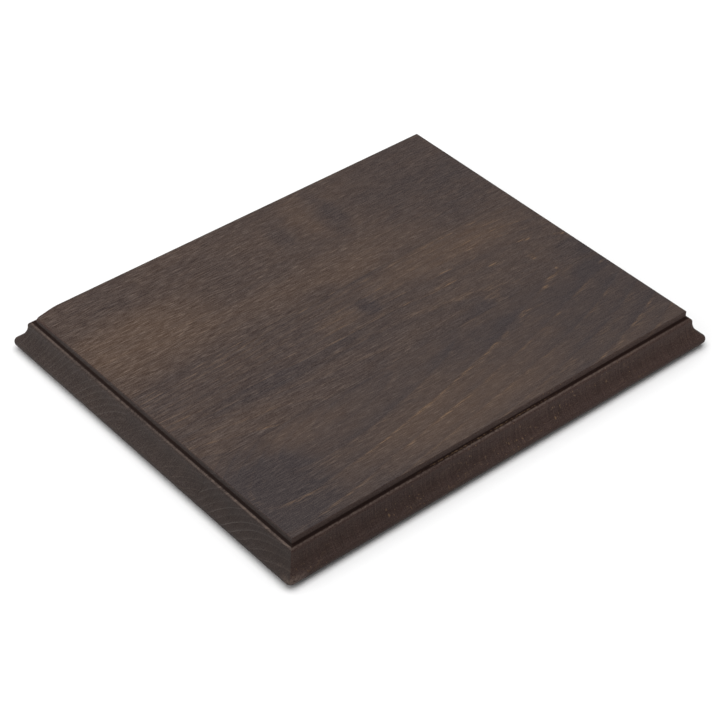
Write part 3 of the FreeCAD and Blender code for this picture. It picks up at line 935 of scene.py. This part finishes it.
def zinc_steel():
    graph = Graph("zinc_plated_steel")
    place = graph.position()
    grain_distance, grain_pick = graph.cells(graph.stretched(place, (2.6, 2.6, 2.6)))
    cloud = graph.noise(graph.stretched(place, (6.0, 6.0, 6.0)), 3.0, 0.6)
    scratch = graph.noise(graph.stretched(place, (7.0, 0.22, 0.22)), 2.0, 0.7)
    colour = graph.mix((0.46, 0.47, 0.49), (0.66, 0.67, 0.69), graph.step(cloud, 0.3, 0.7))
    colour = graph.mix(colour, (0.56, 0.56, 0.60), graph.times(grain_pick, 0.35))
    scratched = graph.times(graph.step(scratch, 0.62, 0.75), 0.3)
    colour = graph.mix(colour, (0.78, 0.78, 0.78), scratched)
    roughness = graph.add(0.26, graph.times(cloud, 0.16), graph.times(grain_pick, 0.06))
    height = graph.add(graph.times(scratch, 0.5), graph.times(cloud, 0.5),
                       graph.times(grain_distance, 0.1))
    graph.shader.inputs["Metallic"].default_value = 1.0
    return graph.finish(colour, roughness, height, 0.02)


def felt():
    graph = Graph("pressed_felt")
    place = graph.position()
    fuzz = graph.noise(graph.stretched(place, (0.35, 0.35, 0.35)), 4.0, 0.75, 1.2)
    strands = graph.noise(graph.stretched(place, (1.6, 0.18, 0.5)), 3.0, 0.7, 2.0)
    crossing = graph.noise(graph.stretched(place, (0.18, 1.6, 0.5)), 3.0, 0.7, 2.0)
    tangle = graph.math("MAXIMUM", strands, crossing)
    colour = graph.mix((0.022, 0.018, 0.015), (0.080, 0.066, 0.056), graph.step(fuzz, 0.36, 0.64))
    on_top = graph.times(graph.step(tangle, 0.58, 0.74), 0.6)
    colour = graph.mix(colour, (0.190, 0.160, 0.135), on_top)
    roughness = graph.add(0.9, graph.times(fuzz, 0.1))
    height = graph.add(graph.times(fuzz, 0.6), graph.times(tangle, 0.5))
    graph.shader.inputs["Sheen Weight"].default_value = 0.15
    graph.shader.inputs["Sheen Roughness"].default_value = 0.5
    return graph.finish(colour, roughness, height, 0.18)


# Rim of a felt disc from below: share of its radius and of its thickness.  Below, how uneven the
# fibres leave it: sideways as a share of the radius, and upwards in millimetres.
FELT_RIM = ((0.86, 0.02), (0.93, 0.08), (0.975, 0.22), (0.992, 0.42), (0.996, 0.62), (0.990, 0.82),
            (0.975, 1.0))
FELT_SPOKES = 96
FELT_PULL = 0.006
FELT_LIFT = 0.03


def felt_disc(node):
    """Pressed felt disc: rounded rim, slightly fuzzy all over, flat against the wood."""
    low, high = box_mm(node)
    centre = (low + high) / 2
    reach = (high.x - low.x) / 2
    thick = high.z - low.z
    section = [(reach * k / 9, 0.0) for k in range(1, 8)]
    section += [(reach * share, level) for share, level in FELT_RIM]
    section += [(reach * (8 - k) / 9, 1.0) for k in range(0, 8)]
    mesh = bmesh.new()
    rings = []
    for radius, level in section:
        loop = []
        for k in range(FELT_SPOKES):
            angle = 2 * math.pi * k / FELT_SPOKES
            x = centre.x + radius * math.cos(angle)
            y = centre.y + radius * math.sin(angle)
            spot = Vector((x * 1.6, y * 1.6, level * 4.0))
            fuzz = noise.noise(spot) + 0.5 * noise.noise(spot * 2.3)
            pull = 1 + FELT_PULL * fuzz if level < 1.0 else 1.0
            lift = FELT_LIFT * abs(fuzz) if level < 0.05 else 0.0
            loop.append(mesh.verts.new(((centre.x + (x - centre.x) * pull) * MM,
                                        (centre.y + (y - centre.y) * pull) * MM,
                                        (low.z + thick * level + lift) * MM)))
        rings.append(loop)
    for lower, upper in zip(rings, rings[1:]):
        for k in range(FELT_SPOKES):
            after = (k + 1) % FELT_SPOKES
            mesh.faces.new((lower[k], lower[after], upper[after], upper[k]))
    mesh.faces.new(list(reversed(rings[0])))
    mesh.faces.new(rings[-1])
    return finish_mesh(f"{node}_disc", mesh, crease=60)


# ---------------------------------------------------------------------------------------------
# The pieces
# ---------------------------------------------------------------------------------------------

def add_staves():
    cuts = {
        "stave_rear": [(REAR_SEAM, True)],
        "stave_middle": [(REAR_SEAM, False), (FRONT_SEAM, True)],
        "stave_front": [(FRONT_SEAM, False)],
    }
    recesses = {"stave_rear": "hanger_plate_landscape", "stave_middle": "hanger_plate_portrait"}
    for node, planes in cuts.items():
        mesh = board_shell()
        for seam, keep_rear in planes:
            cut_away(mesh, seam, keep_rear)
        piece = finish_mesh(f"{node}_wood", mesh)
        if node in recesses:
            carve(piece, hanger_cutters(recesses[node]))
        piece.data.materials.clear()
        piece.data.materials.append(StaveWood(f"{node}_stained", STAVES[node]).material())
        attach(piece, "root")
        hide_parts(node)


def add_felt_pads():
    material = felt()
    for side in ("front_left", "front_right", "rear_left", "rear_right"):
        piece = felt_disc(f"felt_pad_{side}")
        piece.data.materials.append(material)
        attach(piece, "root")
        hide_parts(f"felt_pad_{side}")


WELD_DISTANCE = 0.001


def finish_steel():
    """The hanger plates and their screws keep their CAD shape, joined up where faces meet."""
    material = zinc_steel()
    for name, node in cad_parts.items():
        if not name.startswith(("hanger_plate", "screw")):
            continue
        node.data.materials.clear()
        node.data.materials.append(material)
        weld = node.modifiers.new("joined_corners", "WELD")
        weld.merge_threshold = WELD_DISTANCE * MM


add_staves()
add_felt_pads()
finish_steel()


# ---------------------------------------------------------------------------------------------
# Stage: pale floor, soft light, camera
# ---------------------------------------------------------------------------------------------

# The camera is a rounded least-squares fit to the photo's outline: angles in degrees, distances in
# millimetres from the frame's origin.
CAMERA_AZIMUTH = -40.75
CAMERA_ELEVATION = 39.93
CAMERA_ROLL = 0.8
CAMERA_DISTANCE = 1023.2
CAMERA_SIDEWAYS = -0.34
CAMERA_UPWARDS = -6.53
CAMERA_LENS = 110.0
CAMERA_SENSOR = 36.0
FLOOR_RADIUS = 6000.0
WORLD_STRENGTH = 0.30


def add_camera():
    azimuth, elevation, roll = (math.radians(v) for v in
                                (CAMERA_AZIMUTH, CAMERA_ELEVATION, CAMERA_ROLL))
    back = Vector((math.sin(azimuth) * math.cos(elevation),
                   -math.cos(azimuth) * math.cos(elevation), math.sin(elevation)))
    right = Vector((math.cos(azimuth), math.sin(azimuth), 0))
    up = back.cross(right)
    place = back * CAMERA_DISTANCE + right * CAMERA_SIDEWAYS + up * CAMERA_UPWARDS
    turned_right = math.cos(roll) * right + math.sin(roll) * up
    turned_up = math.cos(roll) * up - math.sin(roll) * right
    camera = bpy.data.objects.new("camera", bpy.data.cameras.new("camera"))
    camera.data.sensor_width = CAMERA_SENSOR
    camera.data.lens = CAMERA_LENS
    camera.data.clip_start = 0.05
    camera.data.clip_end = 50.0
    turn = Matrix((turned_right, turned_up, back)).transposed()
    camera.matrix_world = Matrix.Translation(place * MM) @ turn.to_4x4()
    bpy.context.scene.collection.objects.link(camera)
    bpy.context.scene.camera = camera


def add_floor():
    """Large pale disc on the plane that the felt pads rest on."""
    mesh = bmesh.new()
    bmesh.ops.create_circle(mesh, cap_ends=True, segments=96, radius=FLOOR_RADIUS * MM)
    floor = finish_mesh("floor", mesh)
    graph = Graph("pale_floor")
    place = graph.position()
    cloud = graph.noise(graph.stretched(place, (300.0, 300.0, 300.0)))
    colour = graph.mix((0.90, 0.90, 0.90), (0.92, 0.92, 0.92), cloud)
    graph.finish(colour, 0.9, cloud, 0.0)
    floor.data.materials.append(graph.material)


def add_light(name, place, size, power):
    """Soft area light aimed at the frame's origin, in metres and watts."""
    data = bpy.data.lights.new(name, "AREA")
    data.shape = "RECTANGLE"
    data.size, data.size_y = size
    data.energy = power
    light = bpy.data.objects.new(name, data)
    light.location = place
    light.rotation_euler = Vector(place).to_track_quat("Z", "Y").to_euler()
    bpy.context.scene.collection.objects.link(light)


def add_world():
    world = bpy.data.worlds.new("studio")
    world.use_nodes = True
    background = world.node_tree.nodes["Background"]
    background.inputs["Color"].default_value = (1.0, 1.0, 1.0, 1.0)
    background.inputs["Strength"].default_value = WORLD_STRENGTH
    bpy.context.scene.world = world


add_camera()
add_floor()
add_world()
add_light("overhead", (0.10, 0.25, 1.5), (2.2, 2.2), 32.0)
add_light("left", (-1.5, 0.1, 0.9), (1.2, 1.2), 7.0)
bpy.context.scene.view_settings.view_transform = "Standard"
